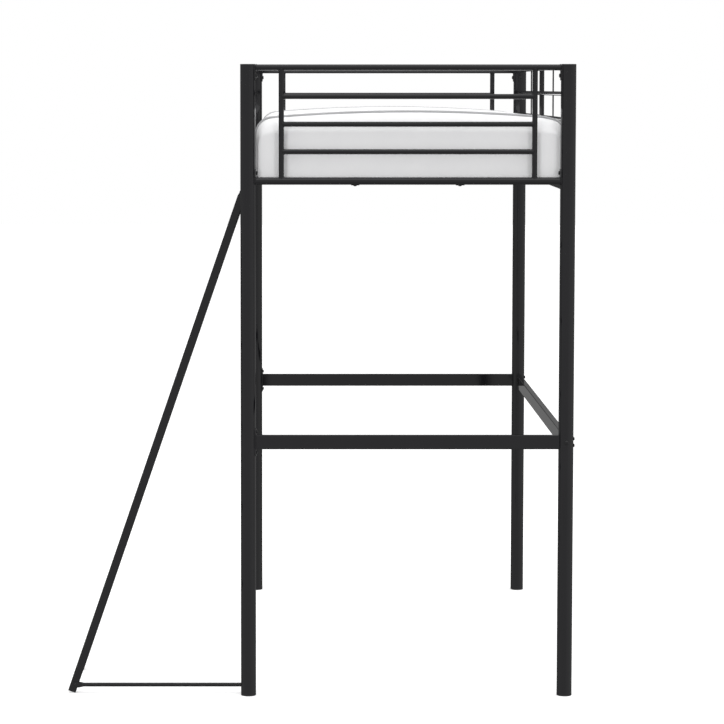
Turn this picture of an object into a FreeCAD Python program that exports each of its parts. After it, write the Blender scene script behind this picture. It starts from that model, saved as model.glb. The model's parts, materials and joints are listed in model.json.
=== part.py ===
import FreeCAD, Part
import math
import os

# A metal-tube loft bed with a leaning ladder and one mattress.
# +Z is up. The foot end is at -Y and the head end at +Y. The ladder leans on the long side at -X,
# and the other long side, at +X, is the wall side. The model is drawn about the middle of the bed
# at floor level, and at the end every piece is shifted so that the origin is the middle of the
# whole footprint, ladder included.

# ---- driving dimensions, millimetres ----
bed_height = 2000.0
post_diameter = 48.0
post_wall = 1.5
post_spacing_across = 1003.5
post_spacing_along = 1917.0
tube_wall = 1.2
fit_gap = 0.1

top_rail_diameter = 19.0
top_rail_height = 1989.3
end_rail_diameter = 23.0
end_rail_height = 1634.0
end_upright_diameter = 17.0
end_upright_offset = 397.0
end_bar_diameter = 16.0
end_bar_heights = {"lower": 1726.0, "middle": 1812.0, "upper": 1898.5}

side_rail_thickness = 20.0
side_rail_depth = 45.0
side_rail_height = 1625.5
lower_rail_height = 810.2
rail_corner = 2.5

guard_diameter = 14.0
guard_top_height = 1991.5
guard_bar_heights = {"lower": 1743.0, "middle": 1825.0, "upper": 1907.0}
guard_post_diameter = 17.0
guard_rod_diameter = 5.0
guard_rod_offset = 431.0
entry_gap_width = 470.0
entry_bend_radius = 42.0

support_offset = 165.0
support_diameter = 16.0
slat_count = 12
slat_span = 1640.0
slat_width = 38.0
slat_depth = 5.5
slat_gauge = 1.5
ledge_width = 18.0
ledge_thickness = 3.0

ladder_lean = 19.0
ladder_stile_width = 25.4
ladder_width = 355.0
ladder_from_foot_post = 44.0
ladder_foot_run = 566.3
rung_count = 5
rung_diameter = 22.0
stretcher_diameter = 12.7
stretcher_height = 27.0

mattress_width = 974.0
mattress_length = 1880.0
mattress_thickness = 208.0
mattress_corner = 48.0
mattress_edge = 38.0
mattress_gap = 0.3

cap_thickness = 3.0
glide_thickness = 4.0
saddle_half_width = 13.0
saddle_gauge = 2.5
insert_diameter = 11.0
insert_length = 14.0

# ---- sizes that follow ----
post_radius = post_diameter / 2
post_x = post_spacing_across / 2
post_y = post_spacing_along / 2
saddle_radius = post_radius + fit_gap + saddle_gauge
support_height = end_rail_height - end_rail_diameter / 2 + support_diameter / 2
ledge_top = support_height + support_diameter / 2
slat_top = ledge_top + slat_depth
side_rail_top = side_rail_height + side_rail_depth / 2
side_rail_inner = post_x - side_rail_thickness / 2
side_rail_outer = post_x + side_rail_thickness / 2

X = FreeCAD.Vector(1, 0, 0)
Y = FreeCAD.Vector(0, 1, 0)
Z = FreeCAD.Vector(0, 0, 1)
ENDS = {"foot": -1, "head": 1}
SIDES = {"ladder": -1, "wall": 1}
nodes = {}


# ---- shapes ----
def vec(x, y, z):
    return FreeCAD.Vector(x, y, z)


def rod(start, end, diameter):
    axis = end - start
    return Part.makeCylinder(diameter / 2, axis.Length, start, axis)


def tube(start, end, diameter, wall=tube_wall):
    return rod(start, end, diameter).cut(rod(start, end, diameter - 2 * wall))


def block(low, high):
    size = high - low
    return Part.makeBox(size.x, size.y, size.z, low)


def block_about(centre, size_x, size_y, size_z):
    half = vec(size_x / 2, size_y / 2, size_z / 2)
    return block(centre - half, centre + half)


def edges_along(shape, direction):
    chosen = []
    for edge in shape.Edges:
        if len(edge.Vertexes) == 2:
            run = edge.Vertexes[1].Point - edge.Vertexes[0].Point
            if run.Length > 1e-6 and run.cross(direction).Length < 1e-6 * run.Length:
                chosen.append(edge)
    return chosen


def rounded_block(low, high, direction, radius):
    shape = block(low, high)
    return shape.makeFillet(radius, edges_along(shape, direction))


def box_tube(centre, size_x, size_y, size_z, direction, corner=rail_corner, wall=tube_wall):
    """A rectangular tube with rounded corners, open at both ends along direction."""
    half = vec(size_x / 2, size_y / 2, size_z / 2)
    inset = vec(wall, wall, wall) - direction * wall
    outer = rounded_block(centre - half, centre + half, direction, corner)
    inner = rounded_block(centre - half + inset, centre + half - inset, direction, corner - wall / 2)
    return outer.cut(inner)


def along(shape, position, direction):
    """Turn a shape drawn up +Z so that it points along direction from position."""
    placed = shape.copy()
    placed.Placement = FreeCAD.Placement(position, FreeCAD.Rotation(Z, direction))
    return placed


def without(shape, *others):
    for other in others:
        shape = shape.cut(other)
    return shape


def group(shapes):
    return Part.makeCompound(list(shapes))


# ---- fasteners: the seat is the middle of the head's underside, and out points away from the work ----
def screw_sizes(size):
    """Head diameter, head height and shank diameter."""
    return {"small": (9.0, 2.4, 5.0), "medium": (11.5, 3.6, 6.0), "large": (13.5, 3.6, 8.0)}[size]


def button_screw(seat, out, size, length):
    head_diameter, head_height, shank_diameter = screw_sizes(size)
    radius = head_diameter / 2
    crown = radius * 0.45
    foot = vec(0, 0, 0)
    rim = vec(radius, 0, 0)
    shoulder = vec(radius, 0, head_height * 0.22)
    bulge = vec(radius * 0.84, 0, head_height * 0.74)
    flat = vec(crown, 0, head_height)
    tip = vec(0, 0, head_height)
    outline = [
        Part.makeLine(foot, rim),
        Part.makeLine(rim, shoulder),
        Part.Arc(shoulder, bulge, flat).toShape(),
        Part.makeLine(flat, tip),
        Part.makeLine(tip, foot),
    ]
    head = Part.Face(Part.Wire(outline)).revolve(vec(0, 0, 0), Z, 360)
    socket_radius = shank_diameter * 0.36
    corners = []
    for turn in range(7):
        angle = math.radians(60 * turn)
        across = vec(math.cos(angle), math.sin(angle), 0) * socket_radius
        corners.append(across + Z * head_height * 0.35)
    socket = Part.Face(Part.makePolygon(corners)).extrude(Z * head_height)
    shank = rod(vec(0, 0, -length), vec(0, 0, 0), shank_diameter)
    return along(head.cut(socket).fuse(shank).removeSplitter(), seat, out)


def screw_hole(seat, out, size, length):
    shank_diameter = screw_sizes(size)[2] + 2 * fit_gap
    return rod(seat - out * (length + 0.5), seat + out * 0.5, shank_diameter)


def insert_hole(post_surface, out):
    return rod(post_surface - out * (post_wall + 1), post_surface + out, insert_diameter - 2.0)


def thread_insert(post_surface, out, size):
    """A threaded sleeve pressed into a post's wall, its collar inside the wall."""
    bore = screw_sizes(size)[2] + 2 * fit_gap
    step = post_surface - out * (post_wall + 1.0)
    neck = rod(step, post_surface - out * 0.4, insert_diameter - 2.0 - 2 * fit_gap)
    collar = rod(post_surface - out * insert_length, step, insert_diameter)
    through = rod(post_surface - out * (insert_length + 1), post_surface + out, bore)
    return neck.fuse(collar).cut(through)


# ---- corner posts, their caps and glides ----
def post_centre(side, end, height=0.0):
    return vec(side * post_x, end * post_y, height)


def post_body(side, end):
    return tube(
        post_centre(side, end, glide_thickness),
        post_centre(side, end, bed_height - cap_thickness),
        post_diameter,
        post_wall,
    )


def post_envelope(side, end, extra=fit_gap):
    return rod(post_centre(side, end, -1), post_centre(side, end, bed_height + 1), post_diameter + 2 * extra)


def plug(side, end, flange_height, flange_thickness, spigot_end, edge):
    """A plastic plug: a flange as wide as the post, and a hollow spigot inside it."""
    low = post_centre(side, end, flange_height)
    flange = rod(low, low + Z * flange_thickness, post_diameter)
    outer_height = 0.0 if spigot_end > flange_height else bed_height
    rim = [e for e in flange.Edges if len(e.Vertexes) == 1 and abs(e.Vertexes[0].Z - outer_height) < 0.01]
    flange = flange.makeFillet(edge, rim)
    inner = post_diameter - 2 * post_wall - 2 * fit_gap
    joint = flange_height + flange_thickness if spigot_end > flange_height else flange_height
    spigot = tube(post_centre(side, end, joint), post_centre(side, end, spigot_end), inner, 2.5)
    return flange.fuse(spigot).removeSplitter()


# ---- curved saddles that seat a rail's end on a post ----
def saddle(side, end, direction, low, high):
    """A shell that hugs the post on the side that direction points to, from low to high."""
    shell = tube(post_centre(side, end, low), post_centre(side, end, high), 2 * saddle_radius, saddle_gauge)
    across = Z.cross(direction)
    middle = post_centre(side, end, (low + high) / 2) + direction * post_radius
    reach = abs(direction.x) * 30 + abs(across.x) * saddle_half_width * 2
    depth = abs(direction.y) * 30 + abs(across.y) * saddle_half_width * 2
    window = block_about(middle, reach, depth, high - low + 2)
    plate = block_about(middle, reach, depth, high - low)
    plate = plate.makeFillet(7.0, edges_along(plate, direction))
    return shell.common(window).common(plate)


def saddle_envelope(side, end):
    return post_envelope(side, end, saddle_radius - post_radius + fit_gap)


# Screws are collected first, so that posts and rails can be drilled for them.
screws = {}
drillings = {}
post_drillings = {}
inserts = []


def fasten(name, seat, out, size, length, into=None, insert_at=None):
    """Add a screw to a node, the hole that it needs, and where given the insert that it turns in."""
    screws.setdefault(name, []).append(button_screw(seat, out, size, length))
    drillings.setdefault(name, []).append(screw_hole(seat, out, size, length))
    if into is not None:
        holes = post_drillings.setdefault(into, [])
        if insert_at is None:
            holes.append(screw_hole(seat, out, size, length))
        else:
            holes.append(insert_hole(insert_at, out))
            inserts.append(thread_insert(insert_at, out, size))


def fasten_saddle(name, side, end, direction, height, size="large"):
    seat = post_centre(side, end, height) + direction * saddle_radius
    surface = post_centre(side, end, height) + direction * post_radius
    fasten(name, seat, direction, size, 16.0, (side, end), surface)


# ---- end panels: round rails, uprights and guard bars welded together, with saddles at the corners ----
corner_saddle_height = 50.0
corner_screw_offset = 25.5


def end_panel(end_name, end):
    y = end * post_y
    left = saddle_envelope(-1, end)
    right = saddle_envelope(1, end)

    def level_rod(height, diameter):
        return rod(vec(-post_x, y, height), vec(post_x, y, height), diameter)

    def level_tube(height, diameter):
        return level_rod(height, diameter).cut(level_rod(height, diameter - 2 * tube_wall))

    top_rail = without(level_tube(top_rail_height, top_rail_diameter), left, right)
    bottom_rail = without(level_tube(end_rail_height, end_rail_diameter), left, right)
    nodes[end_name + "_top_rail"] = top_rail
    nodes[end_name + "_platform_rail"] = bottom_rail

    rail_cutters = [
        level_rod(top_rail_height, top_rail_diameter + 2 * fit_gap),
        level_rod(end_rail_height, end_rail_diameter + 2 * fit_gap),
    ]
    uprights = []
    upright_cutters = []
    for side in SIDES.values():
        x = side * end_upright_offset
        low = vec(x, y, end_rail_height)
        high = vec(x, y, top_rail_height)
        uprights.append(without(tube(low, high, end_upright_diameter), *rail_cutters))
        upright_cutters.append(rod(low, high, end_upright_diameter + 2 * fit_gap))
    nodes[end_name + "_uprights"] = group(uprights)
    for bar_name, height in end_bar_heights.items():
        bar = tube(vec(-end_upright_offset, y, height), vec(end_upright_offset, y, height), end_bar_diameter)
        nodes[end_name + "_bar_" + bar_name] = without(bar, *upright_cutters)

    saddles = []
    for side in SIDES.values():
        inward = X * -side
        rail_top = top_rail_height + top_rail_diameter / 2
        saddles.append(saddle(side, end, inward, rail_top - corner_saddle_height, rail_top))
        rail_bottom = end_rail_height - end_rail_diameter / 2
        saddles.append(saddle(side, end, inward, rail_bottom, rail_bottom + corner_saddle_height))
        fasten_saddle("panel_screws", side, end, inward, top_rail_height - corner_screw_offset)
        fasten_saddle("panel_screws", side, end, inward, end_rail_height + corner_screw_offset)
    return saddles


# ---- flat-sided rails ----
rail_saddle_height = 88.0
rail_saddle_screw_offset = 33.0
rail_bolt_spacing = 21.0
rail_plug_length = 34.0


def cross_rail(end_name, end):
    """The lower rail across one end: a saddle at the ladder side, through bolts at the wall side."""
    y = end * post_y
    body = box_tube(
        vec(0, y, lower_rail_height), 2 * post_x, side_rail_thickness, side_rail_depth, X
    )
    body = without(body, saddle_envelope(-1, end), post_envelope(1, end))
    nodes[end_name + "_lower_rail"] = body
    low = lower_rail_height - rail_saddle_height / 2
    high = lower_rail_height + rail_saddle_height / 2
    for offset in (-rail_saddle_screw_offset, rail_saddle_screw_offset):
        fasten_saddle("rail_screws", -1, end, X, lower_rail_height + offset, "medium")
    plug_high_x = post_x - post_radius - 2
    rail_plug = block_about(
        vec(plug_high_x - rail_plug_length / 2, y, lower_rail_height),
        rail_plug_length,
        side_rail_thickness - 2 * tube_wall - 2,
        side_rail_depth - 2 * tube_wall - 2,
    )
    for offset in (-rail_bolt_spacing / 2, rail_bolt_spacing / 2):
        seat = post_centre(1, end, lower_rail_height + offset) + X * post_radius
        fasten("lower_rail_bolts", seat, X, "medium", post_diameter + 24, (1, end))
        rail_plug = rail_plug.cut(screw_hole(seat, X, "medium", post_diameter + 24))
    return saddle(-1, end, X, low, high), rail_plug


def wall_lower_rail():
    """The lower rail along the wall side, with one bolt through each post into a plug in its end."""
    body = box_tube(
        vec(post_x, 0, lower_rail_height), side_rail_thickness, 2 * post_y, side_rail_depth, Y
    )
    nodes["wall_lower_rail"] = without(body, post_envelope(1, -1), post_envelope(1, 1))
    plugs = []
    for end in ENDS.values():
        out = Y * end
        seat = post_centre(1, end, lower_rail_height) + out * post_radius
        fasten("lower_rail_bolts", seat, out, "large", post_diameter + 24, (1, end))
        inner = post_y - post_radius - 2 - rail_plug_length / 2
        rail_plug = block_about(
            vec(post_x, end * inner, lower_rail_height),
            side_rail_thickness - 2 * tube_wall - 2,
            rail_plug_length,
            side_rail_depth - 2 * tube_wall - 2,
        )
        plugs.append(rail_plug.cut(screw_hole(seat, out, "large", post_diameter + 24)))
    return plugs


def side_rail(side_name, side):
    """A platform side rail with a saddle at each end, and a ledge inside it for the slats."""
    body = box_tube(
        vec(side * post_x, 0, side_rail_height), side_rail_thickness, 2 * post_y, side_rail_depth, Y
    )
    body = without(body, saddle_envelope(side, -1), saddle_envelope(side, 1))
    nodes[side_name + "_side_rail"] = body
    ledge_outer = side * side_rail_inner
    ledge_inner = side * (side_rail_inner - ledge_width)
    ledge_half_length = slat_span / 2 + slat_width
    ledge = block(
        vec(min(ledge_outer, ledge_inner), -ledge_half_length, ledge_top - ledge_thickness),
        vec(max(ledge_outer, ledge_inner), ledge_half_length, ledge_top),
    )
    nodes[side_name + "_slat_ledge"] = ledge
    saddles = []
    for end in ENDS.values():
        low = side_rail_height - rail_saddle_height / 2
        high = side_rail_height + rail_saddle_height / 2
        saddles.append(saddle(side, end, Y * -end, low, high))
        for offset in (-rail_saddle_screw_offset, rail_saddle_screw_offset):
            fasten_saddle("rail_screws", side, end, Y * -end, side_rail_height + offset, "medium")
    return saddles


# ---- mattress platform ----
lug_width = 26.0
lug_thickness = 2.0
lug_reach = 46.0
lug_screw_inset = 28.0
support_plug_length = 40.0


def platform():
    lugs = []
    supports = []
    for side in SIDES.values():
        x = side * support_offset
        support = tube(vec(x, -post_y, support_height), vec(x, post_y, support_height), support_diameter)
        end_plugs = []
        for end in ENDS.values():
            y = end * post_y
            rail_low = vec(-post_x, y, end_rail_height)
            rail_high = vec(post_x, y, end_rail_height)
            support = support.cut(rod(rail_low, rail_high, end_rail_diameter + 2 * fit_gap))
            beyond = vec(x, end * (post_y + 40), support_height)
            support = support.cut(rod(vec(x, y, support_height), beyond, support_diameter + 1))
            lug_top = support_height - support_diameter / 2
            near = y + end * 2
            far = y - end * lug_reach
            lug = rounded_block(
                vec(x - lug_width / 2, min(near, far), lug_top - lug_thickness),
                vec(x + lug_width / 2, max(near, far), lug_top),
                Z,
                5.0,
            )
            seat = vec(x, y - end * lug_screw_inset, lug_top - lug_thickness)
            fasten("platform_screws", seat, Z * -1, "medium", 14.0)
            hole = screw_hole(seat, Z * -1, "medium", 14.0)
            lugs.append(lug.cut(hole))
            support = support.cut(hole)
            plug_start = y - end * (end_rail_diameter / 2 + 4)
            plug_end = plug_start - end * support_plug_length
            inner = support_diameter - 2 * tube_wall - 2 * fit_gap
            end_plug = rod(vec(x, plug_start, support_height), vec(x, plug_end, support_height), inner)
            end_plugs.append(end_plug.cut(hole))
        supports.append(support)
        inserts.extend(end_plugs)
    nodes["platform_supports"] = group(supports)
    nodes["platform_lugs"] = group(lugs)


def slat(y):
    """A roll-formed steel slat: a shallow channel, open below, on the two ledges."""
    half_length = side_rail_inner - 1.0
    low = vec(-half_length, y - slat_width / 2, ledge_top)
    high = vec(half_length, y + slat_width / 2, slat_top)
    outer = block(low, high)
    top_edges = [e for e in edges_along(outer, X) if abs(e.Vertexes[0].Z - slat_top) < 0.01]
    outer = outer.makeFillet(slat_gauge + 0.5, top_edges)
    hollow = block(
        vec(-half_length - 1, y - slat_width / 2 + slat_gauge, ledge_top - 1),
        vec(half_length + 1, y + slat_width / 2 - slat_gauge, slat_top - slat_gauge),
    )
    return outer.cut(hollow)


rivet_diameter = 4.8
rivet_head_diameter = 9.0
rivet_head_height = 2.0


def slats():
    pitch = slat_span / (slat_count - 1)
    rivets = []
    bars = []
    for index in range(slat_count):
        y = -slat_span / 2 + index * pitch
        bar = slat(y)
        for side in SIDES.values():
            x = side * (side_rail_inner - ledge_width / 2)
            ledge_under = vec(x, y, ledge_top - ledge_thickness)
            head = rod(ledge_under - Z * rivet_head_height, ledge_under, rivet_head_diameter)
            shank = rod(ledge_under, vec(x, y, slat_top - 0.2), rivet_diameter)
            hole = rod(ledge_under - Z, vec(x, y, slat_top + 1), rivet_diameter + 2 * fit_gap)
            rivets.append(head.fuse(shank).removeSplitter())
            bar = bar.cut(hole)
            ledge_name = ("wall" if side > 0 else "ladder") + "_slat_ledge"
            nodes[ledge_name] = nodes[ledge_name].cut(hole)
        bars.append(bar)
    nodes["platform_slats"] = group(bars)
    nodes["slat_rivets"] = group(rivets)


# ---- guards along the sides ----
plug_in_depth = 6.0
foot_plate_thickness = 3.0
foot_plate_width = 19.0
foot_plate_length = 64.0
foot_screw_offset = 20.0


def guard_bars(name, side, low_y, high_y, cutters, rods_at):
    """Three bars at set heights, with holes where the thin rods pass through."""
    x = side * post_x
    bars = []
    for bar_name, height in guard_bar_heights.items():
        bar = tube(vec(x, low_y, height), vec(x, high_y, height), guard_diameter)
        bar = without(bar, *cutters)
        if bar_name != "lower":
            for y in rods_at:
                low = vec(x, y, height - guard_diameter)
                high = vec(x, y, height + guard_diameter)
                bar = bar.cut(rod(low, high, guard_rod_diameter + 2 * fit_gap))
        bars.extend(bar.Solids)
    nodes[name + "_guard_bars"] = group(bars)


def guard_rods(side, rods_at):
    """Thin rods from the lowest bar up to the top rail."""
    x = side * post_x
    low = guard_bar_heights["lower"] + guard_diameter / 2 + fit_gap
    high = guard_top_height - guard_diameter / 2 - fit_gap
    return [rod(vec(x, y, low), vec(x, y, high), guard_rod_diameter) for y in rods_at]


def guard_post(side, y):
    """The thicker upright of a guard, from its foot plate to the top rail."""
    x = side * post_x
    low = vec(x, y, side_rail_top + foot_plate_thickness)
    high = vec(x, y, guard_top_height)
    rail = rod(high - Y * 40, high + Y * 40, guard_diameter + 2 * fit_gap)
    return tube(low, high, guard_post_diameter).cut(rail)


def foot_plate(side, y):
    """The plate under a guard upright, screwed down on the side rail."""
    x = side * post_x
    plate_top = side_rail_top + foot_plate_thickness - fit_gap
    low = vec(x - foot_plate_width / 2, y - foot_plate_length / 2, side_rail_top)
    high = vec(x + foot_plate_width / 2, y + foot_plate_length / 2, plate_top)
    plate = rounded_block(low, high, Z, 6.0)
    for offset in (-foot_screw_offset, foot_screw_offset):
        seat = vec(x, y + offset, plate_top)
        fasten("guard_foot_screws", seat, Z, "small", 12.0)
        hole = screw_hole(seat, Z, "small", 12.0)
        plate = plate.cut(hole)
        rail_name = ("wall" if side > 0 else "ladder") + "_side_rail"
        nodes[rail_name] = nodes[rail_name].cut(hole)
    return plate


def upright_cutter(side, y, diameter):
    x = side * post_x
    return rod(vec(x, y, side_rail_top), vec(x, y, guard_top_height), diameter + 2 * fit_gap)


def guard_socket(side, end, height):
    """The hole in a post that the end of a guard bar plugs into."""
    outside = vec(side * post_x, end * (post_y - post_radius - 5), height)
    inside = vec(side * post_x, end * (post_y - 10), height)
    return rod(outside, inside, guard_diameter + 2 * fit_gap)


def wall_guard():
    reach = post_y - post_radius + plug_in_depth
    top = tube(vec(post_x, -post_y, guard_top_height), vec(post_x, post_y, guard_top_height), guard_diameter)
    nodes["wall_guard_top_rail"] = without(top, saddle_envelope(1, -1), saddle_envelope(1, 1))
    rods_at = (-guard_rod_offset, guard_rod_offset)
    cutters = [upright_cutter(1, 0, guard_post_diameter)]
    guard_bars("wall", 1, -reach, reach, cutters, rods_at)
    for end in ENDS.values():
        for height in guard_bar_heights.values():
            post_drillings.setdefault((1, end), []).append(guard_socket(1, end, height))
    return guard_rods(1, rods_at), [guard_post(1, 0)], [foot_plate(1, 0)]


def ladder_guard():
    """The shorter guard beside the ladder: it stops short of the foot end to leave the way in."""
    entry_y = -post_y + post_radius + entry_gap_width
    reach = post_y - post_radius + plug_in_depth
    x = -post_x
    bend_start = entry_y + entry_bend_radius
    top = tube(vec(x, bend_start, guard_top_height), vec(x, post_y, guard_top_height), guard_diameter)
    nodes["ladder_guard_top_rail"] = without(top, saddle_envelope(-1, 1))

    centre = vec(x, bend_start, guard_top_height - entry_bend_radius)
    start = vec(x, bend_start, guard_top_height)
    finish = vec(x, entry_y, guard_top_height - entry_bend_radius)
    turn = math.radians(135)
    middle = centre + vec(0, math.cos(turn), math.sin(turn)) * entry_bend_radius
    foot = vec(x, entry_y, side_rail_top + foot_plate_thickness)
    path = Part.Wire([Part.Arc(start, middle, finish).toShape(), Part.makeLine(finish, foot)])
    profiles = []
    for diameter in (guard_diameter, guard_diameter - 2 * tube_wall):
        ring = Part.Wire([Part.makeCircle(diameter / 2, start, Y)])
        profiles.append(path.makePipeShell([ring], True, False))
    nodes["ladder_guard_entry_post"] = profiles[0].cut(profiles[1])

    middle_y = (entry_y + post_y) / 2
    span = (post_y - entry_y) / 4
    rods_at = (middle_y - span, middle_y + span)
    cutters = [
        upright_cutter(-1, middle_y, guard_post_diameter),
        upright_cutter(-1, entry_y, guard_diameter),
    ]
    guard_bars("ladder", -1, entry_y, reach, cutters, rods_at)
    for height in guard_bar_heights.values():
        post_drillings.setdefault((-1, 1), []).append(guard_socket(-1, 1, height))
    plates = [foot_plate(-1, middle_y), foot_plate(-1, entry_y)]
    return guard_rods(-1, rods_at), [guard_post(-1, middle_y)], plates


def guard_saddles():
    """Saddles at the ends of the guards' top rails."""
    saddles = []
    high = guard_top_height + guard_diameter / 2
    for side, end in ((1, -1), (1, 1), (-1, 1)):
        saddles.append(saddle(side, end, Y * -end, high - corner_saddle_height, high))
        fasten_saddle("rail_screws", side, end, Y * -end, top_rail_height - corner_screw_offset, "medium")
    return saddles


# ---- ladder ----
lean = math.radians(ladder_lean)
ladder_cap_thickness = 3.0
ladder_spigot_length = 12.0
stile_stock_length = 1850.0
stile_bevel_height = 1588.0
stile_bevel_lean = math.radians(34.0)
stile_top_plate = 2.0
hook_gauge = 4.0
hook_inner_drop = 40.0
hook_outer_drop = 83.0
hook_screw_drop = 27.0
hook_screw_length = side_rail_thickness + 2 * (hook_gauge + fit_gap)


def ladder_x(height):
    """The ladder's centre plane: X at a height above the floor."""
    return -post_x - ladder_foot_run + height * math.tan(lean)


def ladder_stile(foot, up):
    """A square tube, cut upright behind the hook, with a bevelled top that a plate closes."""
    across = ladder_stile_width / 2
    face_x = ladder_x(stile_bevel_height) - across / math.cos(lean)
    bevel_out = vec(-math.cos(stile_bevel_lean), 0, math.sin(stile_bevel_lean))
    bevel = vec(face_x, foot.y, stile_bevel_height)
    behind_hook = block(
        vec(-side_rail_outer - 2 * fit_gap - hook_gauge, foot.y - 30, 0),
        vec(0, foot.y + 30, bed_height),
    )
    solids = []
    for inset, start, plate in ((0.0, 0.0, 0.0), (tube_wall, -1.0, stile_top_plate)):
        half = across - inset
        low = vec(-half, -half, start)
        high = vec(half, half, stile_stock_length)
        bar = along(rounded_block(low, high, Z, rail_corner - inset / 2), foot, up)
        above = along(block(vec(-200, -30, 0), vec(200, 30, 200)), bevel - bevel_out * plate, bevel_out)
        solids.append(without(bar, behind_hook, above))
    return solids[0].cut(solids[1])


def ladder_foot_cap(foot, up):
    """A plastic plug in a stile's foot: a square flange with a spigot inside the tube."""
    flange = block_about(
        Z * (ladder_cap_thickness / 2), ladder_stile_width, ladder_stile_width, ladder_cap_thickness
    )
    flange = flange.makeFillet(rail_corner, edges_along(flange, Z))
    inner = ladder_stile_width - 2 * tube_wall - 2 * fit_gap
    spigot = block_about(
        Z * (ladder_cap_thickness + ladder_spigot_length / 2), inner, inner, ladder_spigot_length
    )
    spigot = spigot.makeFillet(rail_corner, edges_along(spigot, Z))
    return along(flange.fuse(spigot).removeSplitter(), foot, up)


def ladder_hook(y):
    """A flat strap bent over the side rail, with its longer leg behind the stile."""
    half = ladder_stile_width / 2
    inner_face = -side_rail_inner + fit_gap
    outer_face = -side_rail_outer - fit_gap
    top = side_rail_top + fit_gap + hook_gauge
    strap = block(
        vec(outer_face - hook_gauge, y - half, side_rail_top + fit_gap),
        vec(inner_face + hook_gauge, y + half, top),
    )
    inner_leg = block(
        vec(inner_face, y - half, side_rail_top - hook_inner_drop),
        vec(inner_face + hook_gauge, y + half, top),
    )
    outer_leg = block(
        vec(outer_face - hook_gauge, y - half, side_rail_top - hook_outer_drop),
        vec(outer_face, y + half, top),
    )
    return strap.fuse(inner_leg).fuse(outer_leg).removeSplitter()


def ladder():
    up = vec(math.sin(lean), 0, math.cos(lean))
    half = ladder_stile_width / 2
    foot_height = half * math.sin(lean)
    near_y = -post_y + ladder_from_foot_post

    foot_caps = []
    hooks = []
    for stile_name, y in (("foot_side", near_y), ("head_side", near_y + ladder_width)):
        foot = vec(ladder_x(foot_height), y, foot_height)
        foot_caps.append(ladder_foot_cap(foot, up))
        nodes["ladder_stile_" + stile_name] = ladder_stile(foot + up * ladder_cap_thickness, up)
        seat = vec(-side_rail_inner + fit_gap + hook_gauge, y, side_rail_top - hook_screw_drop)
        fasten("ladder_screws", seat, X, "medium", hook_screw_length)
        hole = screw_hole(seat, X, "medium", hook_screw_length)
        hooks.append(ladder_hook(y).cut(hole))
        nodes["ladder_side_rail"] = nodes["ladder_side_rail"].cut(hole)
        notch = block(
            vec(-side_rail_inner - 1, y - half - 1, side_rail_top - hook_inner_drop),
            vec(-side_rail_inner + hook_gauge + 1, y + half + 1, side_rail_top),
        )
        nodes["ladder_slat_ledge"] = nodes["ladder_slat_ledge"].cut(notch)

    nodes["ladder_foot_caps"] = group(foot_caps)
    nodes["ladder_hooks"] = group(hooks)
    rung_pitch = side_rail_top / (rung_count + 1)
    for index in range(rung_count):
        height = rung_pitch * (index + 1)
        x = ladder_x(height)
        nodes["ladder_rung_%d" % (index + 1)] = tube(
            vec(x, near_y + half + fit_gap, height),
            vec(x, near_y + ladder_width - half - fit_gap, height),
            rung_diameter,
        )
    return near_y - half


stretcher_tab_thickness = 4.2
stretcher_tab_height = 19.0
stretcher_tab_length = 21.0
stretcher_flare_length = 13.0
stretcher_tab_screw_inset = 8.0
stretcher_tab_screw_length = 16.0
stretcher_past_stile = 4.0
stretcher_past_post = 14.0
stretcher_post_screw_length = stretcher_diameter + 14.0


def upright_prism(outline):
    """A tall block whose outline, seen from above, is a list of X, Y points."""
    corners = [vec(px, py, 0) for px, py in outline + outline[:1]]
    return Part.Face(Part.makePolygon(corners)).extrude(Z * 100)


def stretcher(stile_face_y):
    """The floor bar from the ladder's foot to the foot post: a round bar with one flattened end."""
    radius = stretcher_diameter / 2
    y = -post_y + post_radius + fit_gap + radius
    tab_half = stretcher_tab_thickness / 2
    tab_y = stile_face_y - 2 * fit_gap - tab_half
    tab_end = ladder_x(stretcher_height) - stretcher_past_stile
    tab_start = tab_end + stretcher_tab_length
    round_start = tab_start + stretcher_flare_length

    bar_end = vec(round_start, y, stretcher_height)
    body = rod(bar_end, vec(-post_x + stretcher_past_post, y, stretcher_height), stretcher_diameter)
    cone = Part.makeCone(radius, stretcher_tab_height / 2, stretcher_flare_length, bar_end, X * -1)
    flare = cone.common(
        upright_prism(
            [
                (round_start, y - radius),
                (round_start, y + radius),
                (tab_start, tab_y + tab_half),
                (tab_start, tab_y - tab_half),
            ]
        )
    )
    tab = rod(vec(tab_end, y, stretcher_height), vec(tab_start, y, stretcher_height), stretcher_tab_height)
    tab = tab.common(
        upright_prism(
            [
                (tab_start, tab_y - tab_half),
                (tab_start, tab_y + tab_half),
                (tab_end, tab_y + tab_half),
                (tab_end, tab_y - tab_half),
            ]
        )
    )
    bar = body.fuse(flare).fuse(tab).removeSplitter()

    tab_seat = vec(tab_end + stretcher_tab_screw_inset, tab_y - tab_half, stretcher_height)
    fasten("stretcher_screws", tab_seat, Y * -1, "small", stretcher_tab_screw_length)
    tab_hole = screw_hole(tab_seat, Y * -1, "small", stretcher_tab_screw_length)
    post_seat = vec(-post_x, y + radius, stretcher_height)
    post_surface = vec(-post_x, -post_y + post_radius, stretcher_height)
    fasten("stretcher_screws", post_seat, Y, "small", stretcher_post_screw_length, (-1, -1), post_surface)
    post_hole = screw_hole(post_seat, Y, "small", stretcher_post_screw_length)
    nodes["floor_stretcher"] = without(bar, tab_hole, post_hole)
    nodes["ladder_stile_foot_side"] = nodes["ladder_stile_foot_side"].cut(tab_hole)


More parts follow.
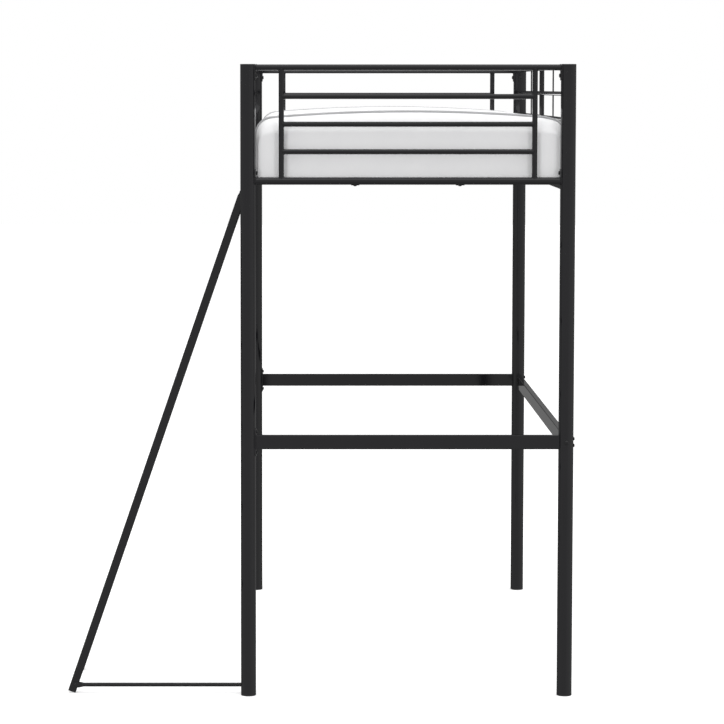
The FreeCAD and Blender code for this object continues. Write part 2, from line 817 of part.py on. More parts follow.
# ---- mattress ----
def mattress():
    low = vec(-mattress_width / 2, -mattress_length / 2, slat_top + mattress_gap)
    high = vec(mattress_width / 2, mattress_length / 2, slat_top + mattress_gap + mattress_thickness)
    body = rounded_block(low, high, Z, mattress_corner)
    rims = [edge for edge in body.Edges if abs(edge.BoundBox.ZMin - edge.BoundBox.ZMax) < 0.01]
    return body.makeFillet(mattress_edge, rims)


# ---- assembly ----
corner_saddles = []
for name, end in ENDS.items():
    corner_saddles.extend(end_panel(name, end))
nodes["panel_saddles"] = group(corner_saddles)

lower_saddles = []
rail_plugs = []
for name, end in ENDS.items():
    rail_saddle, rail_plug = cross_rail(name, end)
    lower_saddles.append(rail_saddle)
    rail_plugs.append(rail_plug)
rail_plugs.extend(wall_lower_rail())
nodes["lower_rail_saddles"] = group(lower_saddles)
nodes["lower_rail_plugs"] = group(rail_plugs)

side_saddles = []
for name, side in SIDES.items():
    side_saddles.extend(side_rail(name, side))
nodes["side_rail_saddles"] = group(side_saddles)

platform()
slats()
for name, wall_pieces, ladder_pieces in zip(
    ("guard_rods", "guard_posts", "guard_foot_plates"), wall_guard(), ladder_guard()
):
    nodes[name] = group(wall_pieces + ladder_pieces)
nodes["guard_saddles"] = group(guard_saddles())
stile_face = ladder()
stretcher(stile_face)
nodes["mattress"] = mattress()

for name in screws:
    nodes[name] = group(screws[name])
nodes["thread_inserts"] = group(inserts)

caps = []
glides = []
for side_name, side in SIDES.items():
    for end_name, end in ENDS.items():
        nodes["post_" + end_name + "_" + side_name + "_side"] = without(
            post_body(side, end), *post_drillings[(side, end)]
        )
        caps.append(plug(side, end, bed_height - cap_thickness, cap_thickness, bed_height - 22, 1.6))
        glides.append(plug(side, end, 0.0, glide_thickness, 18.0, 1.6))
nodes["post_caps"] = group(caps)
nodes["post_glides"] = group(glides)

# Saddles are drilled for their screws.
for node, hole_set in (
    ("panel_saddles", "panel_screws"),
    ("lower_rail_saddles", "rail_screws"),
    ("side_rail_saddles", "rail_screws"),
    ("guard_saddles", "rail_screws"),
):
    solids = [without(solid, *drillings[hole_set]) for solid in nodes[node].Solids]
    nodes[node] = group(solids)

nodes["slat_ledges"] = group([nodes.pop(name + "_slat_ledge") for name in SIDES])

# The origin moves to the middle of the footprint.
box = group(nodes.values()).optimalBoundingBox(False, False)
shift = vec(-(box.XMin + box.XMax) / 2, -(box.YMin + box.YMax) / 2, 0)
os.makedirs("parts", exist_ok=True)
for name, shape in sorted(nodes.items()):
    placed = shape.copy()
    placed.translate(shift)
    placed.exportStep("parts/" + name + ".step")
print("nodes", len(nodes))
print("shift of the bed's middle: %.3f %.3f" % (shift.x, shift.y))
print("overall X %.1f Y %.1f Z %.1f..%.1f" % (box.XLength, box.YLength, box.ZMin, box.ZMax))
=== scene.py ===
import json
import math
import bpy
import numpy as np
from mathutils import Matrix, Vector


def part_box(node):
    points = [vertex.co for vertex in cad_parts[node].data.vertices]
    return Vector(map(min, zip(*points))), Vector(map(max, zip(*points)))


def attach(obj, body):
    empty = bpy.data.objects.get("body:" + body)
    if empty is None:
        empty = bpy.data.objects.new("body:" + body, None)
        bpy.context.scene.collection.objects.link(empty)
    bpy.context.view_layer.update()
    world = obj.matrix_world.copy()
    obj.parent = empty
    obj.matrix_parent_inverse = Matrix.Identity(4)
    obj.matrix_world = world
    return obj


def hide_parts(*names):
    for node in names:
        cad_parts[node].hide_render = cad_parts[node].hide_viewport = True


# Looks for the metal loft bed with a ladder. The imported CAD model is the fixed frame: its tubes,
# rails and fasteners stay as they are and get their paint here. The mattress is modelled here,
# and so are the weld beads where tube meets tube. Metres, +Z up, foot end at -Y, ladder side at -X.

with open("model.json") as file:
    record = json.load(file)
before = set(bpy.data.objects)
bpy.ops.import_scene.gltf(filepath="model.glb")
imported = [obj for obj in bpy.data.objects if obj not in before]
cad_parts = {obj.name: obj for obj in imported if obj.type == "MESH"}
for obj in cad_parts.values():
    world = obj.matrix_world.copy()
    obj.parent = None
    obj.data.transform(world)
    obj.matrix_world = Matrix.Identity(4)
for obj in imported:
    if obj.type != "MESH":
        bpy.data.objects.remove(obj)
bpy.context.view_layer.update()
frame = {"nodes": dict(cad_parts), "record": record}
nodes = frame["nodes"]
scene = bpy.context.scene


# ---- places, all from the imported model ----
def middle(node):
    low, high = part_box(node)
    return (low + high) / 2


def half_size(node):
    low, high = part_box(node)
    return (high - low) / 2


ladder_foot_post = middle("post_foot_ladder_side")
wall_foot_post = middle("post_foot_wall_side")
bed_x = (ladder_foot_post.x + wall_foot_post.x) / 2
foot_y = ladder_foot_post.y
head_y = middle("post_head_wall_side").y
bed_y = (foot_y + head_y) / 2
post_reach = (wall_foot_post.x - ladder_foot_post.x) / 2
post_radius = half_size("post_foot_wall_side").x


# ---- shader building ----
def add(tree, kind, inputs=None, **settings):
    """Add a node. An input given as a socket is linked, and anything else is set."""
    node = tree.nodes.new(kind)
    for key, value in settings.items():
        setattr(node, key, value)
    for key, value in (inputs or {}).items():
        if isinstance(value, bpy.types.NodeSocket):
            tree.links.new(value, node.inputs[key])
        else:
            node.inputs[key].default_value = value
    return node


def new_material(name):
    """A material, its nodes, its shader, and the socket that gives each point's place in metres."""
    material = bpy.data.materials.new(name)
    material.use_nodes = True
    tree = material.node_tree
    place = add(tree, "ShaderNodeTexCoord").outputs["Object"]
    return material, tree, tree.nodes["Principled BSDF"], place


def noise(tree, place, scale, detail=2.0, roughness=0.5):
    """Noise from 0 to 1. The scale is in features per metre."""
    settings = {"Vector": place, "Scale": scale, "Detail": detail, "Roughness": roughness}
    return add(tree, "ShaderNodeTexNoise", settings).outputs["Fac"]


def remap(tree, value, before, after, smooth=False):
    """Stretch the range before to the range after, and hold its ends beyond it."""
    limits = {"Value": value}
    limits["From Min"], limits["From Max"] = before
    limits["To Min"], limits["To Max"] = after
    kind = "SMOOTHSTEP" if smooth else "LINEAR"
    return add(tree, "ShaderNodeMapRange", limits, interpolation_type=kind).outputs["Result"]


def maths(tree, operation, first, second=0.0):
    return add(tree, "ShaderNodeMath", {0: first, 1: second}, operation=operation).outputs[0]


def colour_mix(tree, factor, first, second):
    """Blend two colours: the Mix node takes them at inputs 6 and 7, and gives the blend at output 2."""
    node = add(tree, "ShaderNodeMix", {"Factor": factor}, data_type="RGBA")
    for key, value in ((6, first), (7, second)):
        if isinstance(value, bpy.types.NodeSocket):
            tree.links.new(value, node.inputs[key])
        else:
            node.inputs[key].default_value = (*value, 1.0)
    return node.outputs[2]


def relief(tree, shader, height, strength, depth):
    """Shade the surface as if a height map raised it, up to a depth in metres."""
    bump = add(tree, "ShaderNodeBump", {"Height": height, "Strength": strength, "Distance": depth})
    tree.links.new(bump.outputs["Normal"], shader.inputs["Normal"])


# How well a bevelled normal agrees with the true one where wear starts, and where it is full.
wear_agreement = (0.985, 0.80)


def worn_edges(tree, radius, breaks):
    """1 on edges sharper than radius, 0 on flat and gently curved faces, times a mask of breaks."""
    bevelled = add(tree, "ShaderNodeBevel", {"Radius": radius}, samples=4).outputs["Normal"]
    normal = add(tree, "ShaderNodeNewGeometry").outputs["Normal"]
    product = add(tree, "ShaderNodeVectorMath", {0: bevelled, 1: normal}, operation="DOT_PRODUCT")
    edges = remap(tree, product.outputs["Value"], wear_agreement, (0.0, 1.0), True)
    return maths(tree, "MULTIPLY", edges, breaks)


# ---- materials ----
def enamel():
    """Gloss black enamel over steel: a faint orange peel, and paint a little thinner on the edges."""
    material, tree, shader, place = new_material("black_enamel")
    patches = noise(tree, place, 6.0, detail=3.0)
    colour = colour_mix(tree, patches, (0.0062, 0.0060, 0.0074), (0.0098, 0.0094, 0.0112))
    specks = remap(tree, noise(tree, place, 240.0, detail=4.0), (0.45, 0.62), (0.25, 1.0))
    wear = worn_edges(tree, 0.0014, specks)
    colour = colour_mix(tree, maths(tree, "MULTIPLY", wear, 0.55), colour, (0.045, 0.044, 0.047))
    tree.links.new(colour, shader.inputs["Base Color"])
    smudges = noise(tree, place, 17.0, detail=4.0, roughness=0.6)
    smudges = remap(tree, smudges, (0.35, 0.75), (0.045, 0.085))
    rough = maths(tree, "ADD", smudges, maths(tree, "MULTIPLY", wear, 0.16))
    tree.links.new(rough, shader.inputs["Roughness"])
    peel = noise(tree, place, 330.0, detail=1.5)
    waves = noise(tree, place, 60.0, detail=1.0)
    height = maths(tree, "ADD", maths(tree, "MULTIPLY", peel, 0.35), waves)
    relief(tree, shader, height, strength=0.010, depth=0.0005)
    shader.inputs["Specular IOR Level"].default_value = 0.5
    return material


def fastener_finish():
    """Black-coated screw heads: a little rougher than the enamel, rubbed on the rims."""
    material, tree, shader, place = new_material("black_fasteners")
    tint = noise(tree, place, 90.0, detail=3.0)
    colour = colour_mix(tree, tint, (0.006, 0.006, 0.007), (0.014, 0.014, 0.015))
    specks = remap(tree, noise(tree, place, 700.0), (0.4, 0.6), (0.3, 1.0))
    colour = colour_mix(tree, worn_edges(tree, 0.0007, specks), colour, (0.07, 0.07, 0.072))
    tree.links.new(colour, shader.inputs["Base Color"])
    rough = remap(tree, noise(tree, place, 400.0, detail=3.0), (0.3, 0.7), (0.18, 0.34))
    tree.links.new(rough, shader.inputs["Roughness"])
    relief(tree, shader, noise(tree, place, 900.0), strength=0.1, depth=0.0002)
    return material


def moulded_plastic():
    """Caps, glides and end plugs: black moulded plastic with a fine spark-eroded grain."""
    material, tree, shader, place = new_material("black_plastic")
    tint = noise(tree, place, 40.0, detail=3.0)
    colour = colour_mix(tree, tint, (0.010, 0.010, 0.011), (0.017, 0.017, 0.018))
    scuffs = remap(tree, noise(tree, place, 160.0, detail=3.0), (0.45, 0.65), (0.0, 1.0))
    colour = colour_mix(tree, worn_edges(tree, 0.001, scuffs), colour, (0.05, 0.05, 0.05))
    tree.links.new(colour, shader.inputs["Base Color"])
    rough = remap(tree, noise(tree, place, 600.0), (0.3, 0.7), (0.40, 0.55))
    tree.links.new(rough, shader.inputs["Roughness"])
    relief(tree, shader, noise(tree, place, 1500.0), strength=0.25, depth=0.0002)
    return material


rows_per_stitch = 0.8
stitch_depth_share = 0.12


def knit_height(tree, place, pitch):
    """Rows of small stitches, laid on the face that a point lies in."""
    turns = 2 * math.pi / pitch
    axes = add(tree, "ShaderNodeSeparateXYZ", {0: place}).outputs
    normal = add(tree, "ShaderNodeNewGeometry").outputs["Normal"]
    facing = add(tree, "ShaderNodeSeparateXYZ", {0: normal}).outputs
    total = 0.0
    for axis, (first, second) in enumerate(((1, 2), (0, 2), (0, 1))):
        across = maths(tree, "SINE", maths(tree, "MULTIPLY", axes[first], turns))
        rows = maths(tree, "MULTIPLY", axes[second], turns * rows_per_stitch)
        stitch = maths(tree, "MULTIPLY", across, maths(tree, "SINE", rows))
        weight = maths(tree, "POWER", maths(tree, "ABSOLUTE", facing[axis]), 2.0)
        total = maths(tree, "ADD", total, maths(tree, "MULTIPLY", stitch, weight))
    return total


def mattress_fabric(name, light, dark, pitch, strength):
    """Pale knitted fabric: small stitches, loose fibres, a faint mottle, and painted shade in the
    stitches' hollows.
    """
    material, tree, shader, place = new_material(name)
    knit = knit_height(tree, place, pitch)
    fibre = noise(tree, place, 1800.0)
    mottle = noise(tree, place, 9.0, detail=4.0, roughness=0.6)
    mottle_and_stitch_shade = remap(tree, mottle, (0.3, 0.7), (0.0, 0.6))
    # Painted shade: the colour is darker where the stitches' relief is low, as if shade fell between
    # them.
    mottle_and_stitch_shade = maths(tree, "ADD", mottle_and_stitch_shade, remap(tree, knit, (-1.0, 1.0), (0.4, 0.0)))
    tree.links.new(colour_mix(tree, mottle_and_stitch_shade, light, dark), shader.inputs["Base Color"])
    tree.links.new(remap(tree, fibre, (0.3, 0.7), (0.80, 0.95)), shader.inputs["Roughness"])
    height = maths(tree, "ADD", knit, maths(tree, "MULTIPLY", fibre, 0.4))
    relief(tree, shader, height, strength, pitch * stitch_depth_share)
    shader.inputs["Sheen Weight"].default_value = 0.12
    shader.inputs["Sheen Roughness"].default_value = 0.5
    shader.inputs["Specular IOR Level"].default_value = 0.2
    return material


finishes = {
    "black_enamel": enamel(),
    "black_fasteners": fastener_finish(),
    "black_plastic": moulded_plastic(),
}
cover_fabric = mattress_fabric(
    "mattress_cover", (0.90, 0.90, 0.905), (0.86, 0.86, 0.87), pitch=0.0042, strength=0.35
)
# The piping's grey is partly the cord's own colour and partly painted shade, standing in for the shadow
# in the seam's groove.
piping_grey_and_seam_shade = mattress_fabric(
    "mattress_piping", (0.56, 0.56, 0.57), (0.46, 0.46, 0.47), pitch=0.0021, strength=0.5
)

slot_of = {part["node"]: part["material_slot"] for part in frame["record"]["subparts"]}
for name, node in nodes.items():
    if slot_of[name] in finishes:
        node.data.materials.clear()
        node.data.materials.append(finishes[slot_of[name]])


# ---- meshes ----
corner_steps = 8
same_place = 1e-9
ripple_phase = 2.1


def mesh_object(name, vertices, faces, material, smooth=True):
    mesh = bpy.data.meshes.new(name)
    mesh.from_pydata([tuple(v) for v in vertices], [], faces)
    mesh.update()
    piece = bpy.data.objects.new(name, mesh)
    scene.collection.objects.link(piece)
    piece.data.materials.append(material)
    for polygon in mesh.polygons:
        polygon.use_smooth = smooth
    return piece


def applied(piece):
    """Replace a piece's mesh by its evaluated mesh, and drop its modifiers."""
    graph = bpy.context.evaluated_depsgraph_get()
    mesh = bpy.data.meshes.new_from_object(piece.evaluated_get(graph))
    piece.modifiers.clear()
    piece.data = mesh
    return piece


def points_of(mesh):
    flat = np.zeros(len(mesh.vertices) * 3)
    mesh.vertices.foreach_get("co", flat)
    return flat.reshape(-1, 3)


def set_points(mesh, points):
    mesh.vertices.foreach_set("co", points.astype(np.float32).ravel())
    mesh.update()


def rounded_outline(half_u, half_v, corner, spacing):
    """Evenly spaced points around a rectangle with rounded corners, or around a circle."""
    turns = []
    for u, v, start in ((1, -1, -90), (1, 1, 0), (-1, 1, 90), (-1, -1, 180)):
        for step in range(corner_steps + 1):
            angle = math.radians(start + 90 * step / corner_steps)
            along_u = u * (half_u - corner) + corner * math.cos(angle)
            along_v = v * (half_v - corner) + corner * math.sin(angle)
            turns.append((along_u, along_v))
    outline = []
    for first, second in zip(turns, turns[1:] + turns[:1]):
        gap = math.dist(first, second)
        if gap > same_place:
            pieces = max(1, round(gap / spacing))
            for part in range(pieces):
                share = part / pieces
                outline.append([a + (b - a) * share for a, b in zip(first, second)])
    return outline


def cords(name, routes, radius, sides, strands, ripple, material):
    """Closed loops of cord. Each route comes with a direction that it never runs along.

    The surface ripples by a share of the radius: in strands round the cord, and from point to point.
    """
    vertices = []
    faces = []
    for route, upright in routes:
        base = len(vertices)
        count = len(route)
        for index, point in enumerate(route):
            along = (route[(index + 1) % count] - route[index - 1]).normalized()
            across = along.cross(upright).normalized()
            up = across.cross(along)
            for side in range(sides):
                angle = 2 * math.pi * side / sides
                bulge = radius * (1 + ripple * math.cos(strands * angle + index * ripple_phase))
                vertices.append(point + across * math.cos(angle) * bulge + up * math.sin(angle) * bulge)
        for index in range(count):
            here = base + index * sides
            following = base + (index + 1) % count * sides
            for side in range(sides):
                beside = (side + 1) % sides
                faces.append((here + side, following + side, following + beside, here + beside))
    return mesh_object(name, vertices, faces, material)


# ---- the mattress ----
# One panel wraps round the top, sides and underside. An end panel is sewn in at each end with
# piping, and swells out from its seam, most of all at the top. The mattress lies a little nearer the
# wall side. Its upper edge is rounded deeper on the ladder side, and wider on the wall side.
mattress_low, mattress_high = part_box("mattress")
toward_wall = 0.005
side_skin = 0.001
end_skin = 0.003
mattress_mid = (mattress_low + mattress_high) / 2 + Vector((toward_wall, 0, 0))
half_width = (mattress_high.x - mattress_low.x) / 2 - toward_wall - side_skin
half_length = (mattress_high.y - mattress_low.y) / 2 - end_skin
half_thickness = (mattress_high.z - mattress_low.z) / 2

# How far each rounded edge of the cross-section reaches: across, and then up or down the side.
ladder_shoulder = (0.048, 0.066)
wall_shoulder = (0.072, 0.028)
foot = (0.002, 0.002)

# How the end panels are drawn in from their seams to the mattress's ends.
end_reach = 0.048
end_top_drop = 0.066
end_side_inset = 0.005
end_foot_rise = 0.001
end_fullness = 1.35

# The crown is crown_drop times the square of the distance from the middle, and fades out downward.
crown_drop = 0.100
crown_fade = 1.4

# The grid's size, and its closer rows over each end panel.
cell = 0.015
end_rows = 6

# The seams lie in shallow grooves. They and a band along the foot hold the cover while it swells.
seam_groove = 0.002
seam_half_width = 0.012
foot_band = 0.020
foot_band_fade = 0.012

# The piping is a cord of a few strands.
piping_radius = 0.0037
piping_spacing = 0.006
piping_sides = 12
piping_strands = 3
piping_ripple = 0.07

# The cover as cloth, held at its pins and blown up from inside.
cover_cloth = {
    "quality": 5,
    "mass": 0.3,
    "tension_stiffness": 25.0,
    "compression_stiffness": 25.0,
    "shear_stiffness": 12.0,
    "bending_stiffness": 1.5,
    "use_pressure": True,
    "uniform_pressure_force": 3.0,
    "vertex_group_mass": "pins",
}
swell_frames = 20
swell_limit = 0.003
least_pin = 0.02


def grid_lines():
    """Grid positions along X, Y and Z: even, with closer rows at the underside's edge and the ends."""
    seam_y = half_length - end_reach
    across = np.linspace(-half_width, half_width, round(2 * half_width / cell) + 1)
    across = np.concatenate([across, [-half_width + foot[0], half_width - foot[0]]])
    upright = np.linspace(-half_thickness, half_thickness, round(2 * half_thickness / cell) + 1)
    upright = np.concatenate([upright, [-half_thickness + foot[1]]])
    lengthwise = np.linspace(-seam_y, seam_y, round(2 * seam_y / cell) + 1)
    turns = np.arange(1, end_rows + 1) * math.pi / 2 / end_rows
    end_lines = seam_y + end_reach * np.sin(turns)
    return [np.sort(across), np.concatenate([-end_lines[::-1], lengthwise, end_lines]), np.sort(upright)]


def slab_grid():
    """A closed box of quads about the origin."""
    lines = grid_lines()
    counts = [len(line) - 1 for line in lines]
    points = {}
    vertices = []
    faces = []

    def vertex(i, j, k):
        if (i, j, k) not in points:
            points[i, j, k] = len(vertices)
            vertices.append([lines[0][i], lines[1][j], lines[2][k]])
        return points[i, j, k]

    for axis in range(3):
        first, second = (axis + 1) % 3, (axis + 2) % 3
        for level in (0, counts[axis]):
            for i in range(counts[first]):
                for j in range(counts[second]):
                    corners = []
                    for di, dj in ((0, 0), (1, 0), (1, 1), (0, 1)):
                        index = [0, 0, 0]
                        index[axis], index[first], index[second] = level, i + di, j + dj
                        corners.append(vertex(*index))
                    faces.append(corners if level else corners[::-1])
    return np.array(vertices), faces


def rounded_slab(points):
    """Round the cross-section's four corners, then draw it in towards each end."""
    x, y, z = points.T.copy()
    for sign, on_ladder_side, on_wall_side in ((1, ladder_shoulder, wall_shoulder), (-1, foot, foot)):
        wide = np.where(x < 0, on_ladder_side[0], on_wall_side[0])
        tall = np.where(x < 0, on_ladder_side[1], on_wall_side[1])
        out_x = np.maximum(np.abs(x) - (half_width - wide), 0) / wide
        out_z = np.maximum(sign * z - (half_thickness - tall), 0) / tall
        square = np.maximum(out_x, out_z)
        reach = np.hypot(out_x, out_z)
        pull = np.where((out_x > 0) & (out_z > 0), square / np.where(reach > 0, reach, 1.0), 1.0)
        x = x - np.sign(x) * out_x * wide * (1 - pull)
        z = z - sign * out_z * tall * (1 - pull)
    past_seam = np.clip((np.abs(y) - (half_length - end_reach)) / end_reach, 0, 1)
    drawn_in = 1 - (1 - past_seam**end_fullness) ** (1 / end_fullness)
    x = x * (1 - drawn_in * end_side_inset / half_width)
    height = (z + half_thickness) / (2 * half_thickness)
    low = -half_thickness + drawn_in * end_foot_rise
    high = half_thickness - drawn_in * end_top_drop
    return np.column_stack([x, y, low + height * (high - low)])


def crowned(points, groove=0.0):
    """Lower the upper part of the slab to its crown, and by a groove where one is given."""
    upper = np.clip(points[:, 2] / half_thickness * crown_fade + 1 - crown_fade, 0, 1)
    lowered = points.copy()
    lowered[:, 2] -= (crown_drop * points[:, 0] ** 2 + groove) * upper
    return lowered


def seam_weight(points):
    """1 along the end panels' seams, 0 away from them."""
    past_seam = np.abs(points[:, 1]) - (half_length - end_reach)
    return np.exp(-((past_seam / seam_half_width) ** 2))


def foot_weight(points):
    """1 along the underside, 0 above it."""
    return np.clip((-half_thickness + foot_band - points[:, 2]) / foot_band_fade, 0, 1)


def swell(piece, pins):
    """Blow the cover up from inside with a cloth simulation, then scale its movement to a limit."""
    start = points_of(piece.data)
    group = piece.vertex_groups.new(name="pins")
    for index, weight in enumerate(pins):
        if weight > least_pin:
            group.add([index], float(weight), "REPLACE")
    cloth = piece.modifiers.new("cloth", "CLOTH")
    for key, value in cover_cloth.items():
        setattr(cloth.settings, key, value)
    cloth.settings.effector_weights.gravity = 0.0
    for number in range(1, swell_frames + 1):
        scene.frame_set(number)
    applied(piece)
    piece.vertex_groups.clear()
    moved = points_of(piece.data) - start
    largest = np.linalg.norm(moved, axis=1).max()
    set_points(piece.data, start + moved * min(1.0, swell_limit / largest))
    scene.frame_set(1)


def cushion():
    """The foam body in its cover: a crowned slab, swollen between its seams."""
    vertices, faces = slab_grid()
    shaped = rounded_slab(vertices)
    at_seam = seam_weight(shaped)
    pins = np.maximum(at_seam, foot_weight(shaped))
    shaped = crowned(shaped, seam_groove * at_seam)
    piece = mesh_object("mattress_body", shaped + np.array(mattress_mid), faces, cover_fabric)
    swell(piece, pins)
    smooth = piece.modifiers.new("smooth", "SUBSURF")
    smooth.levels = smooth.render_levels = 1
    return applied(piece)


def seam_route(end):
    """Points round the cross-section where an end panel is sewn in."""
    y = end * (half_length - end_reach)
    outline = rounded_outline(half_width, half_thickness, 0.0, piping_spacing)
    shaped = crowned(rounded_slab(np.array([(x, y, z) for x, z in outline])))
    return [mattress_mid + Vector(point) for point in shaped]


mattress = cushion()
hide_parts("mattress")
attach(mattress, "mattress")

piping = cords(
    "mattress_piping",
    [(seam_route(end), Vector((0, 1, 0))) for end in (-1, 1)],
    piping_radius,
    piping_sides,
    piping_strands,
    piping_ripple,
    piping_grey_and_seam_shade,
)
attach(piping, "mattress")


# ---- weld beads, painted over with the frame ----
along_x = Vector((1, 0, 0))
along_y = Vector((0, 1, 0))
upward = Vector((0, 0, 1))
bead_radius = 0.0015
bead_pitch = 0.0012
bead_sides = 6
bead_ripple = 0.14
rod_bead_radius = 0.0008
saddle_reach = 0.0026
saddle_radius = post_radius + saddle_reach
flat_rail_corner = 0.0025

# The posts of both guards are one node, and so are their rods, so each box spans both long sides.
guard_post_radius = half_size("guard_posts").x - post_reach
guard_rod_radius = half_size("guard_rods").x - post_reach
guard_top_z = middle("wall_guard_top_rail").z
entry_radius = half_size("ladder_guard_entry_post").x
entry_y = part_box("ladder_guard_entry_post")[0].y + entry_radius
ladder_guard_y = (entry_y + head_y) / 2
ladder_rod_step = (head_y - entry_y) / 4
wall_rod_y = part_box("guard_rods")[0].y + guard_rod_radius


def bead(centre, out, up, outline, host_radius=0.0):
    """Where an outline pushed along out meets a host: a tube that runs along up, or a flat face."""
    side = up.cross(out)
    route = []
    for u, v in outline:
        depth = math.sqrt(max(host_radius * host_radius - v * v, 0.0))
        route.append(centre + out * depth + up * u + side * v)
    return route, out


def ring(radius):
    return rounded_outline(radius, radius, radius, bead_pitch)


def panel_beads(end_name):
    """Uprights to rails, bars to uprights, and rails to the saddles at the posts."""
    top = middle(end_name + "_top_rail")
    bottom = middle(end_name + "_platform_rail")
    top_radius = half_size(end_name + "_top_rail").z
    bottom_radius = half_size(end_name + "_platform_rail").z
    upright_radius = half_size(end_name + "_uprights").y
    offset = half_size(end_name + "_uprights").x - upright_radius
    beads = []
    for side in (-1, 1):
        x = bed_x + side * offset
        outline = ring(upright_radius)
        beads.append(bead(Vector((x, top.y, top.z)), -upward, along_x, outline, top_radius))
        beads.append(bead(Vector((x, top.y, bottom.z)), upward, along_x, outline, bottom_radius))
        for bar_name in ("lower", "middle", "upper"):
            bar = end_name + "_bar_" + bar_name
            centre = Vector((x, top.y, middle(bar).z))
            beads.append(bead(centre, along_x * -side, upward, ring(half_size(bar).z), upright_radius))
        for rail, radius in ((top, top_radius), (bottom, bottom_radius)):
            centre = Vector((bed_x + side * post_reach, top.y, rail.z))
            beads.append(bead(centre, along_x * -side, upward, ring(radius), saddle_radius))
    return beads


def flat_rail_beads():
    """The platform's side rails and the lower end rails to their saddles."""
    beads = []
    for side, rail in ((-1, "ladder_side_rail"), (1, "wall_side_rail")):
        size = half_size(rail)
        outline = rounded_outline(size.z, size.x, flat_rail_corner, bead_pitch)
        for end_y, out in ((foot_y, along_y), (head_y, -along_y)):
            centre = Vector((bed_x + side * post_reach, end_y, middle(rail).z))
            beads.append(bead(centre, out, upward, outline, saddle_radius))
    for end_y, rail in ((foot_y, "foot_lower_rail"), (head_y, "head_lower_rail")):
        size = half_size(rail)
        outline = rounded_outline(size.z, size.y, flat_rail_corner, bead_pitch)
        centre = Vector((bed_x - post_reach, end_y, middle(rail).z))
        beads.append(bead(centre, along_x, upward, outline, saddle_radius))
    return beads


def guard_bar_heights(guard):
    """The heights of a guard's three bars, lowest first, and their radius."""
    low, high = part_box(guard + "_guard_bars")
    radius = (high.x - low.x) / 2
    return (low.z + radius, (low.z + high.z) / 2, high.z - radius), radius


def guard_beads(side, guard, uprights, saddle_ends):
    """Bars to uprights, uprights to top rail and foot plates, and the top rail to its saddles.

    Each upright is its place along the bed, its radius, and the directions in which bars leave it.
    Only an upright between bars meets the top rail: the entry post bends into it instead.
    """
    x = bed_x + side * post_reach
    heights, bar_radius = guard_bar_heights(guard)
    plate_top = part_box("guard_foot_plates")[1].z
    beads = []
    for y, radius, outs in uprights:
        for z in heights:
            for out in outs:
                beads.append(bead(Vector((x, y, z)), along_y * out, upward, ring(bar_radius), radius))
        beads.append(bead(Vector((x, y, plate_top)), upward, along_y, ring(radius)))
        if len(outs) == 2:
            beads.append(bead(Vector((x, y, guard_top_z)), -upward, along_y, ring(radius), bar_radius))
    for end_y, out in saddle_ends:
        beads.append(bead(Vector((x, end_y, guard_top_z)), out, upward, ring(bar_radius), saddle_radius))
    return beads


def rod_beads(side, guard, rods_at):
    """The thin rods to the lowest bar and the top rail."""
    x = bed_x + side * post_reach
    heights, bar_radius = guard_bar_heights(guard)
    beads = []
    for y in rods_at:
        for z, out in ((heights[0], upward), (guard_top_z, -upward)):
            beads.append(bead(Vector((x, y, z)), out, along_y, ring(guard_rod_radius), bar_radius))
    return beads


def rung_beads():
    """Both ends of each rung to the flat faces of the stiles."""
    beads = []
    for name in sorted(nodes):
        if name.startswith("ladder_rung_"):
            low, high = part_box(name)
            centre = (low + high) / 2
            outline = ring((high.z - low.z) / 2)
            for y, out in ((low.y, along_y), (high.y, -along_y)):
                beads.append(bead(Vector((centre.x, y, centre.z)), out, upward, outline))
    return beads


def weld(name, beads, radius=bead_radius):
    """One piece of painted beads on the frame, uneven along their length only."""
    piece = cords(name, beads, radius, bead_sides, 0, bead_ripple, finishes["black_enamel"])
    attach(piece, "bed_frame")


wall_uprights = [(bed_y, guard_post_radius, (-1, 1))]
ladder_uprights = [(ladder_guard_y, guard_post_radius, (-1, 1)), (entry_y, entry_radius, (1,))]
foot_saddle = (foot_y, along_y)
head_saddle = (head_y, -along_y)
wall_rods = (wall_rod_y, 2 * bed_y - wall_rod_y)
ladder_rods = (ladder_guard_y - ladder_rod_step, ladder_guard_y + ladder_rod_step)

weld("weld_beads_foot_panel", panel_beads("foot"))
weld("weld_beads_head_panel", panel_beads("head"))
weld("weld_beads_flat_rails", flat_rail_beads())
weld("weld_beads_wall_guard", guard_beads(1, "wall", wall_uprights, [foot_saddle, head_saddle]))
weld("weld_beads_ladder_guard", guard_beads(-1, "ladder", ladder_uprights, [head_saddle]))
weld(
    "weld_beads_guard_rods",
    rod_beads(1, "wall", wall_rods) + rod_beads(-1, "ladder", ladder_rods),
    rod_bead_radius,
)
weld("weld_beads_ladder", rung_beads())


# ---- floor, light and camera ----
white = (1.0, 1.0, 1.0, 1.0)
floor_reach = 30.0
floor_glow = 0.50

# How bright the room's parts are to the bed. The camera itself sees plain white.
behind_camera = 0.50
beyond_head_end = 0.22
added_on_wall_side = 0.10
added_overhead = 0.9
share_underfoot = 0.7
strip_height = 0.01
strip_darkness = 0.75

# The camera looks at the foot end from a little to the ladder side, just under the bed's top.
camera_aside = 0.362
camera_distance = 8.935
camera_height = 1.9286
camera_tilt = 4.51
camera_lens = 141.57
camera_shift = (0.096, -0.0698)

# One lamp hangs over the foot end. The fill lamps stand either side of the camera.
overhead_inset = 0.6
overhead_height = 5.5
overhead_aim_height = 1.8
overhead_size = 4.0
overhead_watts = 115.0
fill_aside = 4.0
fill_distance = 8.0
fill_height = 2.0
fill_aim_height = 1.6
fill_size = 2.5
fill_watts = {"left_fill": 184.0, "right_fill": 121.0}


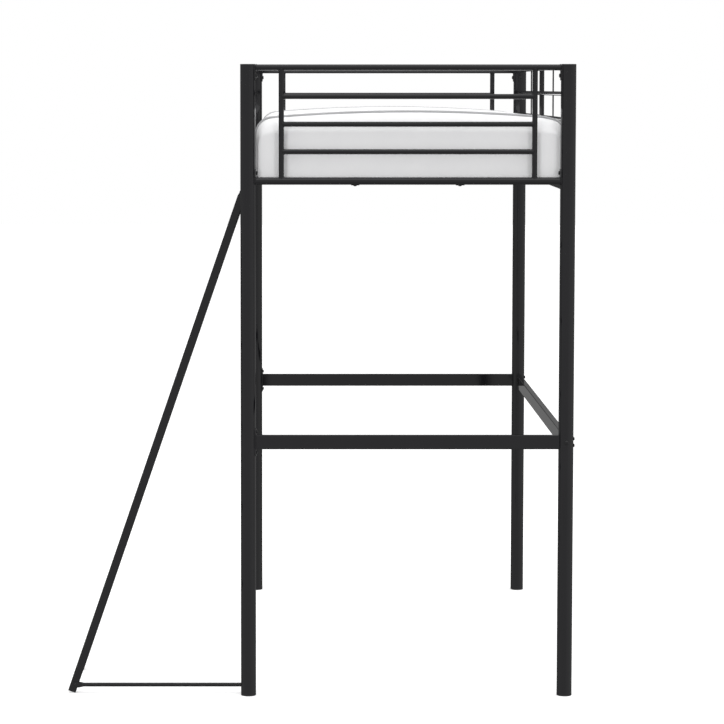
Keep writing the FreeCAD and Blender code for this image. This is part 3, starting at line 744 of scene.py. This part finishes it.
def studio_floor():
    """A white floor that glows enough to hide its shadows. Reflections don't see it."""
    sides = ((-1, -1), (1, -1), (1, 1), (-1, 1))
    corners = [(x * floor_reach, y * floor_reach, 0) for x, y in sides]
    material, tree, shader, place = new_material("studio_floor")
    clouds = noise(tree, place, 1.5, detail=3.0)
    colour = colour_mix(tree, clouds, (0.76, 0.76, 0.76), (0.80, 0.80, 0.80))
    tree.links.new(colour, shader.inputs["Base Color"])
    shader.inputs["Roughness"].default_value = 0.9
    shader.inputs["Specular IOR Level"].default_value = 0.0
    shader.inputs["Emission Color"].default_value = white
    shader.inputs["Emission Strength"].default_value = floor_glow
    floor = mesh_object("studio_floor", corners, [(0, 1, 2, 3)], material, False)
    floor.visible_glossy = False
    floor.visible_diffuse = False


def studio_world():
    """A white room, brightest overhead, with a darker strip at eye level beyond the head end."""
    world = bpy.data.worlds.new("studio")
    world.use_nodes = True
    scene.world = world
    tree = world.node_tree
    # The ranges below are of the direction's parts along X, Y and Z, each from -1 to 1.
    direction = add(tree, "ShaderNodeTexCoord").outputs["Generated"]
    x, y, z = add(tree, "ShaderNodeSeparateXYZ", {0: direction}).outputs
    walls = remap(tree, y, (-0.2, 0.7), (behind_camera, beyond_head_end), True)
    walls = maths(tree, "ADD", walls, remap(tree, x, (0.1, 0.9), (0.0, added_on_wall_side), True))
    off_strip = maths(tree, "ABSOLUTE", maths(tree, "SUBTRACT", z, strip_height))
    darkness = remap(tree, off_strip, (0.05, 0.10), (strip_darkness, 0.0), True)
    beyond = remap(tree, y, (0.80, 0.95), (0.0, 1.0), True)
    strip = maths(tree, "SUBTRACT", 1.0, maths(tree, "MULTIPLY", darkness, beyond))
    walls = maths(tree, "MULTIPLY", walls, strip)
    underfoot = remap(tree, z, (-0.7, -0.15), (share_underfoot, 1.0), True)
    overhead = remap(tree, z, (0.4, 0.95), (0.0, added_overhead), True)
    strength = maths(tree, "ADD", maths(tree, "MULTIPLY", walls, underfoot), overhead)
    background = tree.nodes["Background"]
    seen = add(tree, "ShaderNodeLightPath").outputs["Is Camera Ray"]
    shown = add(tree, "ShaderNodeMix", {0: seen, 2: strength, 3: 1.0})
    tree.links.new(shown.outputs[0], background.inputs["Strength"])
    background.inputs["Color"].default_value = white


def soft_light(name, place, aim, size, watts):
    """A square lamp that lights the bed but shows in no reflection."""
    light = bpy.data.lights.new(name, "AREA")
    light.shape = "SQUARE"
    light.size = size
    light.energy = watts
    lamp = bpy.data.objects.new(name, light)
    lamp.location = place
    lamp.rotation_euler = (Vector(aim) - Vector(place)).to_track_quat("-Z", "Y").to_euler()
    lamp.visible_camera = False
    lamp.visible_glossy = False
    scene.collection.objects.link(lamp)


def studio_camera():
    camera = bpy.data.objects.new("camera", bpy.data.cameras.new("camera"))
    camera.location = (bed_x - camera_aside, foot_y - camera_distance, camera_height)
    camera.rotation_euler = (math.radians(90 - camera_tilt), 0, 0)
    camera.data.sensor_width = 36.0
    camera.data.lens = camera_lens
    camera.data.shift_x, camera.data.shift_y = camera_shift
    camera.data.clip_end = 200.0
    scene.collection.objects.link(camera)
    scene.camera = camera


studio_floor()
studio_world()
overhead_place = (bed_x, foot_y + overhead_inset, overhead_height)
overhead_aim = (bed_x, foot_y / 3, overhead_aim_height)
soft_light("overhead_light", overhead_place, overhead_aim, overhead_size, overhead_watts)
for name, side in (("left_fill", -1), ("right_fill", 1)):
    place = (bed_x + side * fill_aside, foot_y - fill_distance, fill_height)
    soft_light(name, place, (bed_x, foot_y, fill_aim_height), fill_size, fill_watts[name])
studio_camera()
scene.view_settings.view_transform = "Standard"
